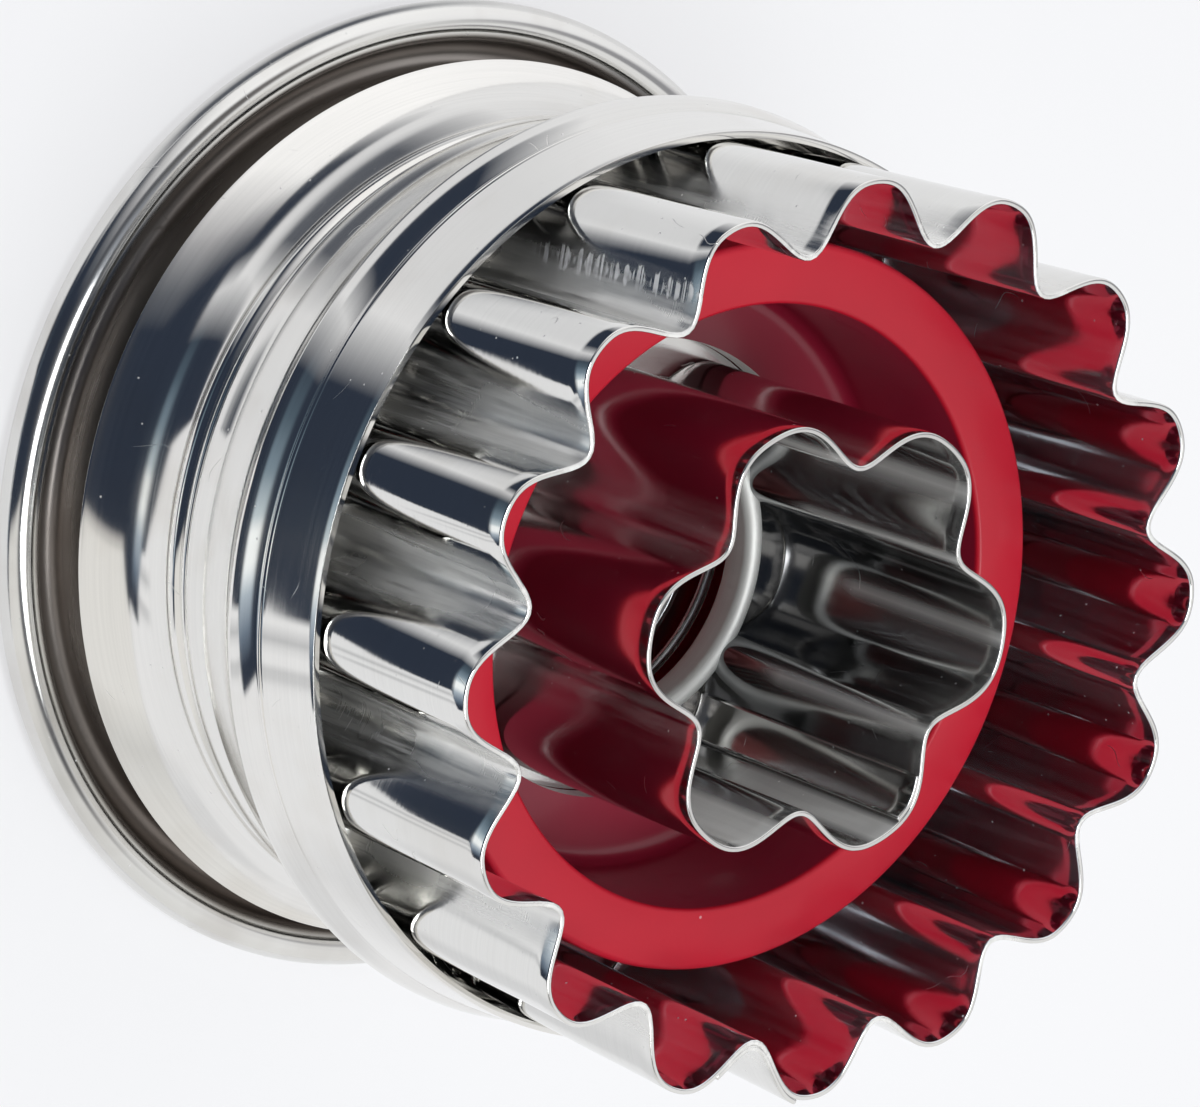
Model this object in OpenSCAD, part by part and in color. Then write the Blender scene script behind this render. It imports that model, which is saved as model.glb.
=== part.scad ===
// Sprung cookie cutter: a fluted outer ring, a six-petal inner cutter and a push-through ejector.
// It stands on its rolled rim with the cutting edges up. +Z is the cutting direction.

/* [Outer cutter] */
// Width across the flute tips at the cutting edge
cutter_d = 48; // [44:0.5:54]
// Number of flutes
flutes = 16; // [12:1:20]
// Depth of a flute, from its tip to the notch
flute_depth = 3.15; // [2.4:0.05:3.8]
// Sharpness of the notches against the round tips
notch_sharpness = 0.085; // [0:0.01:0.12]
// How much narrower each side gets for each millimetre behind the edge
flute_taper = 0.03; // [0.01:0.005:0.04]
// Height of the strip above the plate that it stands on
cutter_h = 18.8; // [17:0.2:24]
// Thickness of both cutter strips
strip_t = 0.3; // [0.2:0.05:0.4]
// Angle where the outer strip's overlap starts
outer_lap_at = 5.5; // [0:0.5:20]
// Angle that the outer strip's overlap covers
outer_lap = 13.5; // [8:0.5:20]

/* [Inner cutter] */
// Width across the petal tips
flower_d = 23.9; // [21:0.1:25]
// Number of petals
petals = 6; // [5:1:8]
// Depth of a petal, from its tip to the notch
petal_depth = 2.85; // [2:0.05:3.2]
// Sharpness of the notches between the petals
petal_sharpness = 0.1; // [0:0.01:0.12]
// How far the inner edge lies behind the outer one
edge_drop = 1.1; // [0:0.1:2]
// Angle where the inner strip's overlap starts
inner_lap_at = 50; // [40:1:56]
// Angle that the inner strip's overlap covers
inner_lap = 12; // [8:1:20]

/* [Housing] */
// Height of the seat inside the shoulder, where the cutters stand
seat_z = 18.6; // [18:0.2:21]
// Thickness of the housing's sheet
sheet_t = 0.4; // [0.3:0.05:0.5]
// Height of the plain collar band
collar_h = 4.4; // [3:0.2:6]
// How much wider the band is at its lower end, on each side
collar_flare = 0.3; // [0.1:0.05:0.5]
// Length of the rolled shoulder under the collar band
shoulder_h = 4; // [3.6:0.1:4.1]
// How far the shoulder bulges past the collar band
shoulder_bulge = 0.5; // [0.3:0.05:0.6]
// How far the finger waist lies inside the collar's edge
waist_depth = 2.4; // [2:0.05:2.6]
// Height of the finger waist
waist_z = 9.2; // [8.6:0.1:9.6]
// Height of the flare's open edge above the foot
flare_z = 4.2; // [3.6:0.1:4.6]
// How far the flare's edge stands out from the waist
flare_out = 2.6; // [2:0.1:2.8]

/* [Rim] */
// Width across the rolled rim
rim_d = 53.8; // [53:0.2:57]
// Thickness of the roll
curl_d = 2.2; // [1.8:0.1:2.6]
// Depth of the flat pressed under the roll, where the tool stands
foot_flat = 0.08; // [0.05:0.01:0.12]

/* [Bridge] */
// Thickness of the plate that carries both cutters
bridge_t = 0.7; // [0.5:0.1:1]
// Height of the sleeve above the plate
sleeve_h = 1; // [0.8:0.1:3]
// Width of the flange that is turned over under the plate
flange_w = 1; // [0.8:0.1:1.2]

/* [Ejector] */
// How far the ring's face lies behind the cutting edge
face_drop = 8.1; // [7.9:0.1:9]
// Width of the ring's face
ring_w = 3.3; // [2.8:0.1:3.6]
// Gap between the ring and the flutes' notches
ring_gap = 0.75; // [0.5:0.05:1.2]
// Wall thickness of the mouldings
wall_t = 1.2; // [1:0.1:1.5]
// Number of legs between the ring and the button
legs = 3; // [3:1:4]
// Thickness of a leg
leg_t = 3; // [2.4:0.1:3.2]
// Angle that a leg covers
leg_w = 24; // [16:1:28]
// Travel of the ejector
travel = 8; // [6:0.1:8]

/* [Thumb button] */
// Gap between the button and the housing's waist
button_gap = 0.6; // [0.4:0.1:1]
// Height of the button's skirt
skirt_h = 6.4; // [4:0.2:7]
// Gap between the button's crown and the foot plane
crown_z = 0.5; // [0.3:0.1:1]
// Depth of the thumb dish
dish_depth = 0.9; // [0.4:0.1:1.2]

/* [Return spring] */
// Thickness of the wire
wire_d = 0.6; // [0.4:0.05:0.7]
// Number of curls
curls = 6; // [4:1:7]

/* [Fits] */
// Gap between pieces that are pressed or welded together
seat_gap = 0.05; // [0.02:0.01:0.1]
// Gap that is left at each end of the travel
stop_gap = 0.15; // [0.1:0.05:0.3]
// Gap between a leg and its window
window_gap = 0.5; // [0.4:0.05:0.6]

/* [Hidden] */
$fn = 96;

edge_z = seat_z + cutter_h;
outer_tip_at = -0.9;
petal_tip_at = 44.4;
inner_edge_z = edge_z - edge_drop;
bridge_z = seat_z - bridge_t;

// Housing radii: the collar closes on the flute tips, and the rest follows from the collar.
collar_z = seat_z + 2.2;
collar_top = collar_z + collar_h;
tip_r = cutter_d / 2;
collar_r = tip_r - flute_taper * (edge_z - collar_top) + 2 * seat_gap + sheet_t / 2;
shoulder_r = shoulder_h * 0.65;
shoulder_z = collar_z - shoulder_h * 0.4;
shoulder_at = collar_r + collar_flare + shoulder_bulge - shoulder_r;
waist_r = collar_r - waist_depth;
flare_rad = (flare_out * flare_out + pow(waist_z - flare_z, 2)) / (2 * flare_out);
seat_r = shoulder_at + sqrt(pow(shoulder_r - sheet_t / 2, 2) - pow(shoulder_z - bridge_z, 2)) - 2 * seat_gap;

// Rim: the trough's wall stands inside the flare, and the roll closes the outer edge.
curl_r = (curl_d - sheet_t) / 2;
curl_z = curl_d / 2 - foot_flat;
curl_at = (rim_d - curl_d) / 2;
trough_wall_r = waist_r + flare_out - 1.2;
trough_r = (curl_at - curl_r - trough_wall_r) / 2;
trough_depth = 0.5;
spigot_top = flare_z + 2.8;

// Sleeve: its wall touches the petals' notches from inside.
sleeve_r = flower_d / 2 - petal_depth - strip_t - seat_gap - sheet_t / 2;

// Ejector: legs run from the ring's floor to the sockets in the button.
ring_r = tip_r - flute_depth - strip_t - flute_taper * cutter_h - ring_gap;
ring_in_r = ring_r - ring_w;
face_z = edge_z - face_drop;
floor_z = seat_z + stop_gap;
floor_t = 1.4;
floor_in_r = flower_d / 2 + 0.4;
leg_r = ring_in_r + wall_t - 0.2;
leg_in_r = leg_r - leg_t;
button_r = waist_r - sheet_t / 2 - button_gap;
button_t = 3;
button_floor = crown_z + button_t;
socket_top = bridge_z - travel - stop_gap;
socket_gap = 0.1;
socket_wall = 0.8;
leg_foot = button_floor + 1;
barb_out = 0.6;
barb_z = leg_foot + 1;
barb_h = 1.6;

// Return spring: it stands on the button, round the post, and presses under the sleeve's flange.
coil_r = sleeve_r + 0.7;
spring_low = button_floor + wire_d / 2 + seat_gap;
spring_high = bridge_z - sheet_t - wire_d / 2 - seat_gap;
rings_per_curl = 8;
wire_sides = 6;
post_r = coil_r * cos(180 / rings_per_curl) - wire_d / 2 - 0.2;
steps_per_flute = 12;

// Points of an arc, with one radius along r and one along z
function arc(c, r, a0, a1, n) = [for (i = [0:n]) let (a = a0 + (a1 - a0) * i / n)
    [c[0] + r[0] * cos(a), c[1] + r[1] * sin(a)]];

function unit(v) = v / norm(v);
function left_of(v) = [-v[1], v[0]];

// Points of a path moved sideways, with the corners kept to full thickness
function beside(path, d) = [for (i = [0:len(path) - 1])
    let (a = unit(path[min(i + 1, len(path) - 1)] - path[min(i, len(path) - 2)]),
         b = unit(path[max(i, 1)] - path[max(i - 1, 0)]),
         m = unit(a + b))
    path[i] + left_of(m) * d / max(m * b, 0.5)];

function reversed(list) = [for (i = [len(list) - 1:-1:0]) list[i]];

// Outline of sheet metal that is bent along a path
function sheet(path, t) = concat(beside(path, t / 2), reversed(beside(path, -t / 2)));

// A fluted line is [count, tip radius, depth, sharpness, angle of a tip]: round tips and narrower notches.
function flute_point(line, a) =
    let (b = line[0] * (a - line[4]),
         r = line[1] - line[2] / 2 * (1 - cos(b)) + line[3] * line[2] * (1 - cos(2 * b)))
    r * [cos(a), sin(a)];

// Point of a fluted line, moved out by d
function flute_beside(line, a, d) =
    let (step = 0.05,
         along = unit(flute_point(line, a + step) - flute_point(line, a - step)))
    flute_point(line, a) - left_of(along) * d;

// Cross-section of a fluted strip, with the overlap on its outside (side 1) or its inside (side -1)
module fluted_strip(line, lap_at, lap, side) {
    steps = line[0] * steps_per_flute;
    lap_steps = 10;
    lap_angles = [for (i = [0:lap_steps]) lap_at + lap * i / lap_steps];
    difference() {
        polygon([for (i = [0:steps - 1]) flute_beside(line, i * 360 / steps, 0)]);
        polygon([for (i = [0:steps - 1]) flute_beside(line, i * 360 / steps, -strip_t)]);
    }
    low = side > 0 ? -strip_t / 4 : -strip_t * 3 / 4;
    high = side > 0 ? strip_t : -2 * strip_t;
    polygon(concat([for (a = lap_angles) flute_beside(line, a, low)],
                   [for (a = reversed(lap_angles)) flute_beside(line, a, high)]));
}

module ring_sector(r_in, r_out, half_angle, z0, z1) {
    far = 2 * r_out;
    translate([0, 0, z0]) linear_extrude(z1 - z0) intersection() {
        difference() {
            circle(r_out);
            circle(r_in);
        }
        polygon([[0, 0], far * [cos(half_angle), -sin(half_angle)], [far, 0],
                 far * [cos(half_angle), sin(half_angle)]]);
    }
}

module at_legs() {
    for (i = [0:legs - 1]) rotate(30 + i * 360 / legs) children();
}

// Drawn housing: trumpet flare, finger waist, bead, two cone bands, rolled shoulder and collar band
module barrel() {
    flare_angle = asin((waist_z - flare_z) / flare_rad);
    waist_up = 8;
    bead_r = 0.7;
    bead_low = -50;
    bead_high = 28;
    bead_z = waist_z + flare_rad * sin(waist_up) - bead_r * sin(bead_low) + 0.1;
    bead_top = bead_z + bead_r * sin(bead_high) + 0.3;
    step_z = collar_z - shoulder_h;
    low_angle = asin((step_z - shoulder_z) / shoulder_r);
    top_angle = asin((collar_z - shoulder_z) / shoulder_r);
    shoulder = arc([shoulder_at, shoulder_z], [shoulder_r, shoulder_r], low_angle, top_angle, 16);
    groove_r = shoulder[0][0] - 0.2;
    path = concat(
        arc([waist_r + flare_rad, waist_z], [flare_rad, flare_rad], 180 + flare_angle, 180 - waist_up, 18),
        arc([waist_r - bead_r / 2, bead_z], [bead_r, bead_r], bead_low, bead_high, 8),
        [[waist_r + 0.4, bead_top], [(waist_r + groove_r) / 2 + 0.15, (bead_z + step_z) / 2 - 0.4],
         [groove_r - 0.15, step_z - 0.7], [groove_r, step_z - 0.4]],
        shoulder,
        [[collar_r + collar_flare, collar_z + 0.12], [collar_r, collar_top]]);
    color([0.80, 0.81, 0.83]) rotate_extrude() polygon(sheet(path, sheet_t));
}

// Pressed rim: a spigot inside the flare, a trough, and a roll that is flattened underneath
module finger_rim() {
    spigot_rad = flare_rad + sheet_t + seat_gap;
    low_angle = asin((waist_z - flare_z - 1) / spigot_rad);
    high_angle = asin((waist_z - spigot_top) / spigot_rad);
    spigot = arc([waist_r + flare_rad, waist_z], [spigot_rad, spigot_rad], 180 + high_angle, 180 + low_angle, 6);
    path = concat(
        spigot,
        [[trough_wall_r, flare_z - 0.2]],
        arc([trough_wall_r + trough_r, curl_z], [trough_r, trough_depth], 180, 360, 12),
        arc([curl_at, curl_z], [curl_r, curl_r], 174, -100, 28));
    color([0.80, 0.81, 0.83]) difference() {
        rotate_extrude() polygon(sheet(path, sheet_t));
        translate([0, 0, -2]) cylinder(h = 2, d = rim_d + 10);
    }
}

// Fluted strip, wider at its edge, closed by an overlap
module outer_cutter() {
    back = 1 - flute_taper * cutter_h / tip_r;
    color([0.82, 0.83, 0.85]) translate([0, 0, seat_z + seat_gap])
        linear_extrude(cutter_h - seat_gap, scale = 1 / back)
            scale(back) fluted_strip([flutes, tip_r, flute_depth, notch_sharpness, outer_tip_at],
                                     outer_lap_at, outer_lap, 1);
}

// Strip with petals, closed by an overlap on its inside
module inner_cutter() {
    color([0.78, 0.79, 0.81]) translate([0, 0, seat_z + seat_gap])
        linear_extrude(inner_edge_z - seat_z - seat_gap)
            fluted_strip([petals, flower_d / 2, petal_depth, petal_sharpness, petal_tip_at],
                         inner_lap_at, inner_lap, -1);
}

// Short sleeve inside the petals, flanged over under the bridge plate
module sleeve() {
    bend = sheet_t / 2 + seat_gap;
    path = concat(
        [[sleeve_r, seat_z + sleeve_h], [sleeve_r, bridge_z - seat_gap - sheet_t / 2 + bend + 0.2]],
        arc([sleeve_r + bend, bridge_z - seat_gap - sheet_t / 2 + bend], [bend, bend], 180, 270, 4),
        [[sleeve_r + bend + flange_w, bridge_z - seat_gap - sheet_t / 2]]);
    color([0.84, 0.84, 0.84]) rotate_extrude() polygon(sheet(path, sheet_t));
}

// Disc that carries both cutters, with windows for the legs
module bridge_plate() {
    color([0.74, 0.75, 0.77]) difference() {
        translate([0, 0, bridge_z]) cylinder(h = bridge_t, r = seat_r);
        translate([0, 0, bridge_z - 1]) cylinder(h = bridge_t + 2, r = sleeve_r + sheet_t / 2 + 2 * seat_gap);
        at_legs() ring_sector(leg_in_r - window_gap, leg_r + barb_out + window_gap,
            leg_w / 2 + window_gap * 60 / leg_r, bridge_z - 1, seat_z + 1);
    }
}

// Red ring that pushes the dough out, with its wall, floor and legs in one moulding
module ejector_ring() {
    round_r = 0.35;
    lip = 0.35;
    outer_skirt = 5;
    profile = concat(
        [[floor_in_r, floor_z], [ring_in_r + wall_t, floor_z],
         [ring_in_r + wall_t, face_z - wall_t], [ring_r - wall_t, face_z - wall_t],
         [ring_r - wall_t, face_z - outer_skirt], [ring_r, face_z - outer_skirt]],
        arc([ring_r - round_r, face_z - round_r], [round_r, round_r], 0, 90, 5),
        [[ring_in_r + lip, face_z], [ring_in_r, face_z - lip]],
        arc([ring_in_r - 1, floor_z + floor_t + 1], [1, 1], 0, -90, 6),
        [[floor_in_r, floor_z + floor_t]]);
    color([0.78, 0.07, 0.13]) union() {
        rotate_extrude() polygon(profile);
        at_legs() {
            ring_sector(leg_in_r, leg_r, leg_w / 2, leg_foot, floor_z + 0.5);
            ring_sector(leg_r - 0.5, leg_r + barb_out, leg_w / 5, barb_z, barb_z + barb_h);
        }
    }
}

// Thumb button in the open back, with sockets for the legs and a post for the spring
module thumb_button() {
    edge_r = 1.2;
    rim_w = 2.5;
    dish_r = button_r - rim_w;
    dish_rad = (dish_r * dish_r + dish_depth * dish_depth) / (2 * dish_depth);
    dish_angle = asin(dish_r / dish_rad);
    profile = concat(
        arc([0, crown_z + dish_depth - dish_rad], [dish_rad, dish_rad], 90, 90 - dish_angle, 12),
        arc([button_r - edge_r, crown_z + edge_r], [edge_r, edge_r], -90, 0, 6),
        [[button_r, crown_z + skirt_h], [button_r - wall_t, crown_z + skirt_h],
         [button_r - wall_t, button_floor], [post_r, button_floor], [post_r, button_floor + 2],
         [post_r - wall_t, button_floor + 2], [post_r - wall_t, button_floor], [0, button_floor]]);
    color([0.76, 0.07, 0.12]) union() {
        rotate_extrude() polygon(profile);
        at_legs() difference() {
            ring_sector(leg_in_r - socket_gap - socket_wall, leg_r + barb_out + socket_gap + socket_wall,
                leg_w / 2 + 5, button_floor - 0.5, socket_top);
            ring_sector(leg_in_r - socket_gap, leg_r + socket_gap, leg_w / 2 + 0.5,
                leg_foot - socket_gap, socket_top + 1);
            ring_sector(leg_r - 0.5, leg_r + 4, leg_w / 5 + 0.5, barb_z - socket_gap,
                barb_z + barb_h + socket_gap);
        }
    }
}

// Centre of the wire at each ring of the coil
function coil_point(i) = let (a = i * 360 / rings_per_curl)
    [coil_r * cos(a), coil_r * sin(a), spring_low + (spring_high - spring_low) * i / (curls * rings_per_curl)];

function coil_section(i) = let (
        a = i * 360 / rings_per_curl,
        rise = (spring_high - spring_low) / curls,
        along = unit([-sin(a) * 2 * PI * coil_r, cos(a) * 2 * PI * coil_r, rise]),
        out = [cos(a), sin(a), 0],
        up = cross(out, along))
    [for (j = [0:wire_sides - 1]) let (b = j * 360 / wire_sides)
        coil_point(i) + wire_d / 2 * (out * cos(b) + up * sin(b))];

module return_spring() {
    last = curls * rings_per_curl;
    points = [for (i = [0:last], p = coil_section(i)) p];
    sides = [for (i = [0:last - 1], j = [0:wire_sides - 1], k = [0, 1])
        let (a = i * wire_sides + j,
             b = i * wire_sides + (j + 1) % wire_sides)
        k == 0 ? [a, b, b + wire_sides] : [a, b + wire_sides, a + wire_sides]];
    caps = [for (j = [1:wire_sides - 2], k = [0, 1])
        k == 0 ? [0, j + 1, j] : [last * wire_sides, last * wire_sides + j, last * wire_sides + j + 1]];
    color([0.62, 0.63, 0.65]) polyhedron(points, concat(sides, caps));
}

// Least gap between the wire and itself, measured from ring to ring at least half a curl apart
coil_gap = min([for (i = [0:curls * rings_per_curl], j = [0:curls * rings_per_curl])
    if (j - i > rings_per_curl / 2) norm(coil_point(j) - coil_point(i))]) - wire_d;
echo(least_gap_of_the_spring_to_itself = coil_gap);

barrel();
finger_rim();
outer_cutter();
inner_cutter();
sleeve();
bridge_plate();
ejector_ring();
thumb_button();
return_spring();
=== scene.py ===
"""Sprung cookie cutter: steel grip, fluted cutter, petal cutter, red ejector ring, thumb button, spring."""
import math

import bmesh
import bpy
from mathutils import Matrix, Quaternion, Vector, noise


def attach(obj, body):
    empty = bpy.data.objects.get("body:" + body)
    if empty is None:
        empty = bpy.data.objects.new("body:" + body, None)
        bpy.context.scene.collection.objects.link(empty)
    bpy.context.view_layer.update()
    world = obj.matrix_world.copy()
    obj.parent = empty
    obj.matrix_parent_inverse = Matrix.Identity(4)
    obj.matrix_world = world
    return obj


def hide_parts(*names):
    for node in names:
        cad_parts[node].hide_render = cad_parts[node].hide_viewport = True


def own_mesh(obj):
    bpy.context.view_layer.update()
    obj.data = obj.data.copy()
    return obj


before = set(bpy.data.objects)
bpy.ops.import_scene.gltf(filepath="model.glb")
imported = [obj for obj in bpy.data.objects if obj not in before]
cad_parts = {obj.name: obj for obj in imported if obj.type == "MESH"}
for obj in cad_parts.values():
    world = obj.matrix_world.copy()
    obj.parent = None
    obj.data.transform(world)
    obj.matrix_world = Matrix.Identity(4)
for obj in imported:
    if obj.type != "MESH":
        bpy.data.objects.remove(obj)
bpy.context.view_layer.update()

# Pieces are shaped in millimetres and brought to metres as their last step.
MM = 0.001
TURN = 2 * math.pi
TURN_STEPS = 240
MERGE_WITHIN = 0.0005

# Sheet and strip
SHEET_T = 0.4
STRIP_T = 0.3
SEAT_Z = 18.6
SEAT_GAP = 0.05
STRIP_LOW_Z = SEAT_Z + SEAT_GAP
STRIP_ROWS = 16
SHEET_SOFT = 0.09
RIM_SOFT = 0.05
STRIP_SOFT = 0.08

# Fluted strip: laps and tips are in degrees round the axis
TIP_R = 24.0
EDGE_Z = 37.4
FLUTES = 16
FLUTE_DEPTH = 3.15
NOTCH_SHARPNESS = 0.085
FLUTE_TAPER = 0.03
FLUTE_TIP_AT = -0.9
FLUTE_LAP = (5.5, 19.0)
FLUTE_STEPS = 30
FLUTE_RIPPLE = (0.022, 0.22)

# Petal strip
PETAL_R = 11.95
PETAL_EDGE_Z = 36.3
PETALS = 6
PETAL_DEPTH = 2.85
PETAL_SHARPNESS = 0.1
PETAL_TIP_AT = 44.4
PETAL_LAP = (50.0, 62.0)
PETAL_STEPS = 60
PETAL_RIPPLE = (0.016, 0.25)

# Housing and rolled rim, in (radius, height)
WAIST_R = 21.534
WAIST_Z = 9.2
FLARE_RAD = 6.108
FLARE_AT = (WAIST_R + FLARE_RAD, WAIST_Z)
SPIGOT_GAP = 0.25
TROUGH_WALL_R = 23.134
TROUGH_AT = (23.917, 1.2)
TROUGH_RAD = 0.783
CURL_AT = (25.8, 1.02)
CURL_RAD = 1.1

# Ejector ring and its legs; widths of legs, barbs and sockets are in degrees
RING_R = 19.236
RING_IN_R = 15.936
RING_SHELL_R = 17.136
RING_STEP_R = 18.036
RING_HOLE_R = 12.35
FACE_Z = 29.3
FLOOR_Z = 18.75
FLOOR_TOP_Z = 20.15
LEG_R = 16.936
LEG_IN_R = 13.936
LEG_LOW_Z = 4.5
LEG_TOP_Z = 18.9
LEG_PLACES = (30, 150, 270)
LEG_WIDTH = 24
BARB_WIDTH = 9.6
BARB_OUT = 0.6
BARB_LOW_Z = 5.5
BARB_TOP_Z = 7.1

# Thumb button
BUTTON_R = 20.734
BUTTON_WALL = 1.2
BUTTON_TOP_Z = 6.9
BUTTON_FLOOR_Z = 3.5
DISH_R = 18.234
DISH_RAD = 117.4
DISH_FLATNESS = 0.63
DISH_MID_Z = 1.4
SOCKET_TOP_Z = 9.75
SOCKET_FOOT_Z = 3.3
BARB_STOP_Z = 5.4
BARB_STEP_Z = 7.2
SOCKET_WIDTH = 34
SOCKET_SIDE_AT = 14.75
SOCKET_SIDE_WIDTH = 4.5

# Sleeve and spring
SLEEVE_R = 8.55
MOUTH_RAD = 0.56
COIL_R = 9.25
WIRE_D = 0.6
WIRE_SIDES = 14
CURLS = 6
CURL_STEPS = 48
SPRING_LOW = 3.85
SPRING_HIGH = 17.15

# Finishes: where the folds, the painted shade in the rim's trough and the glossy insides of the red pieces,
# painted darker as shade, begin and end
BRUSH_LINES = 5200.0
# painted glints: the bearing of the short white strokes on the fluted strip
GLINT_STROKES_AT = -128.15
# painted shade in the rim's trough, between these radii
TROUGH_SHADE_BETWEEN = (23.2, 25.0)
RING_PAINTED_SHADE = (16.5, 12.0, 29.1)
BUTTON_PAINTED_SHADE = (19.0, 3.0, 12.0)

# Painted reflections: bright lines inside the petals, in degrees: each one begins, is full, starts to fade
# and ends
PETAL_PAINTED_REFLECTIONS = [(-168, -158, -158, -150), (-150, -138, -138, -128), (-106, -98, -98, -90),
                 (-50, -40, -40, -30), (-10, -4, 5, 9), (34, 42, 48, 53), (64, 73, 73, 79),
                 (98, 106, 106, 111), (128, 134, 134, 140), (140, 151, 151, 157)]

# Studio: colours by the direction round the tool in degrees; the camera stands at -90
NAVY = (0.030, 0.040, 0.063)
CEILING = (0.30, 0.32, 0.36)
WALL_TONES = [(-180, (1.15, 1.15, 1.16)), (180, (1.15, 1.15, 1.16)), (-150, (1.08, 1.08, 1.09)),
              (-128, (0.50, 0.50, 0.52)), (-112, (0.30, 0.31, 0.33)), (-64, (0.80, 0.79, 0.78)),
              (-58, (0.80, 0.79, 0.78)), (-57, (0.60, 0.59, 0.58)), (-55, (0.62, 0.61, 0.60)),
              (-54, (0.86, 0.85, 0.83)), (-20, (0.88, 0.875, 0.86)), (-8, (0.72, 0.72, 0.71)),
              (8, (0.84, 0.84, 0.83)), (60, (0.95, 0.95, 0.95)), (98, (0.90, 0.90, 0.91)),
              (106, (0.34, 0.34, 0.36)), (122, (0.34, 0.34, 0.36)), (130, (1.0, 1.0, 1.02))]
UPPER_TONES = [(-180, (0.13, 0.12, 0.12)), (180, (0.13, 0.12, 0.12)), (-160, (0.12, 0.12, 0.12)),
               (-145, (0.10, 0.105, 0.12)), (-70, (0.055, 0.06, 0.075)), (40, (0.09, 0.09, 0.10)),
               (62, (0.7, 0.7, 0.7)), (90, (0.95, 0.95, 0.95)), (138, (0.95, 0.95, 0.95)),
               (158, (0.20, 0.19, 0.19))]
# painted highlight: colours of the glowing streak that the floor shows in mirror rays, in place of the
# lamp's highlight
PAINTED_STREAK_TONES = [(-180, NAVY), (180, NAVY), (-108, NAVY), (-94, (0.09, 0.13, 0.17)),
              (-84, (0.24, 0.32, 0.39)), (-76, (0.62, 0.72, 0.78)), (-73, (1.1, 1.15, 1.17)),
              (-67, (1.1, 1.15, 1.17)), (-62, (0.50, 0.58, 0.66)), (-55, (0.18, 0.23, 0.30)), (-49, NAVY)]
# painted reflections: where the floor glows dark in mirror rays, by direction and by distance
DARK_REFLECTION_BANDS = [(-180, 0.0), (180, 0.0), (-58.0, 0.0), (-57.2, 0.40), (-55.5, 0.32), (-54.5, 0.0),
               (-52.0, 0.0), (-51.0, 0.28), (-49.0, 0.24), (-47.5, 0.0), (-22, 0.0), (-10, 0.14),
               (6, 0.14), (14, 0.0)]
DARK_REFLECTION_RINGS = [(0.0, 0.0), (1.0, 1.0), (0.088, 0.0), (0.115, 0.9), (0.19, 0.9), (0.225, 0.35),
               (0.28, 0.12), (0.40, 0.12), (0.46, 1.0)]
FLOOR_R = 2500
FLOOR_DROP = 0.02

# Camera and lamp, in metres
CAMERA_AT = (0.0, -0.22393, 0.27589)
CAMERA_AIM = (-0.00014, 0.00002, 0.01721)
CAMERA_ROLL = 110.3
LENS_MM = 195
LAMP_AT = (0.080, -0.010, 0.515)
LAMP_AIM = (0, 0, 0.02)
LAMP_SIZE = 0.26
LAMP_POWER = 1.5
LAMP_COLOR = (0.95, 0.98, 1.0)


# Shapes

def finish_mesh(mesh_in_mm, name):
    """Merges doubles, turns faces outwards, brings millimetres to metres and links the object."""
    bmesh.ops.remove_doubles(mesh_in_mm, verts=mesh_in_mm.verts, dist=MERGE_WITHIN)
    bmesh.ops.recalc_face_normals(mesh_in_mm, faces=mesh_in_mm.faces)
    bmesh.ops.scale(mesh_in_mm, vec=(MM, MM, MM), verts=mesh_in_mm.verts)
    for face in mesh_in_mm.faces:
        face.smooth = True
    mesh = bpy.data.meshes.new(name)
    mesh_in_mm.to_mesh(mesh)
    mesh_in_mm.free()
    piece = bpy.data.objects.new(name, mesh)
    bpy.context.collection.objects.link(piece)
    return piece


def verts_in(geom):
    return [g for g in geom if isinstance(g, bmesh.types.BMVert)]


def edges_in(geom):
    return [g for g in geom if isinstance(g, bmesh.types.BMEdge)]


def sharpen(bm, degrees):
    """Marks the edges that turn more than the given angle as sharp."""
    bm.normal_update()
    limit = math.radians(degrees)
    for edge in bm.edges:
        if len(edge.link_faces) == 2 and edge.calc_face_angle(0) > limit:
            edge.smooth = False


def polyline(bm, points, closed=False):
    """Vertices and edges along the points."""
    verts = [bm.verts.new(p) for p in points]
    pairs = list(zip(verts, verts[1:])) + ([(verts[-1], verts[0])] if closed else [])
    return verts + [bm.edges.new(pair) for pair in pairs]


def turn_profile(bm, points, closed=False):
    """Spins (radius, height) points all the way round the tool's axis."""
    geom = polyline(bm, [(r, 0, z) for r, z in points], closed)
    bmesh.ops.spin(bm, geom=geom, cent=(0, 0, 0), axis=(0, 0, 1), angle=TURN, steps=TURN_STEPS,
                   use_merge=True, use_duplicate=False)


def sector(bm, outline, middle, width, steps=16):
    """Closed (radius, height) outline spun through a short angle, with both ends filled."""
    before = set(bm.faces)
    geom = polyline(bm, [(r, 0, z) for r, z in outline], closed=True)
    to_start = Matrix.Rotation(math.radians(middle - width / 2), 3, 'Z')
    bmesh.ops.rotate(bm, cent=(0, 0, 0), matrix=to_start, verts=verts_in(geom))
    bmesh.ops.spin(bm, geom=geom, cent=(0, 0, 0), axis=(0, 0, 1), angle=math.radians(width), steps=steps,
                   use_merge=False, use_duplicate=False)
    new_edges = {e for f in bm.faces if f not in before for e in f.edges}
    bmesh.ops.holes_fill(bm, edges=[e for e in new_edges if len(e.link_faces) == 1], sides=0)


def block(inner, outer, low, high):
    """Outline of a rectangle in the (radius, height) plane."""
    return [(inner, low), (outer, low), (outer, high), (inner, high)]


def arc(centre, radius, start, end, steps):
    """Points of an arc in the (radius, height) plane, angles in degrees."""
    angles = [math.radians(start + (end - start) * i / steps) for i in range(steps + 1)]
    return [(centre[0] + radius * math.cos(a), centre[1] + radius * math.sin(a)) for a in angles]


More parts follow.
